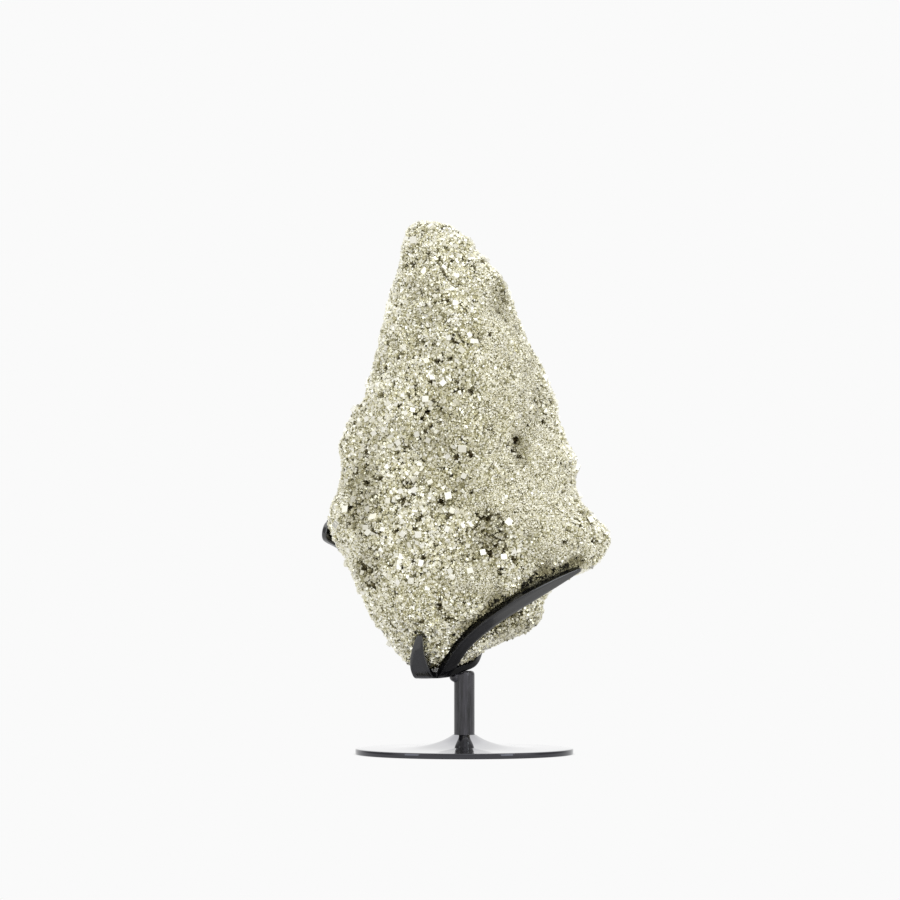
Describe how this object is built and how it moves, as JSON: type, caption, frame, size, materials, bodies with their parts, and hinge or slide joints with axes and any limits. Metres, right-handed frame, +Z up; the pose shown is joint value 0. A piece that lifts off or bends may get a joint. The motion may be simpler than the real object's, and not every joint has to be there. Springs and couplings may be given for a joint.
{
  "type": "mineral specimen on stand",
  "caption": "Tall teardrop-shaped pyrite cluster held by a bent black steel claw on a short post and a round flared base.",
  "frame": {"origin": "centre of the round base's underside", "axes": "+X to the right, +Y to the back and +Z up, seen from the specimen's display side"},
  "size_m": [0.1405, 0.105, 0.2576],
  "materials": {
    "pyrite": "metallic sparkle of small crystal faces",
    "black_steel": "semi-gloss black",
    "black_nickel": "polished black"
  },
  "bodies": {
    "root": {"pyrite_cluster": "pyrite", "claw_cradle": "black_steel", "post": "black_steel", "base_disc": "black_nickel"}
  },
  "joints": []
}
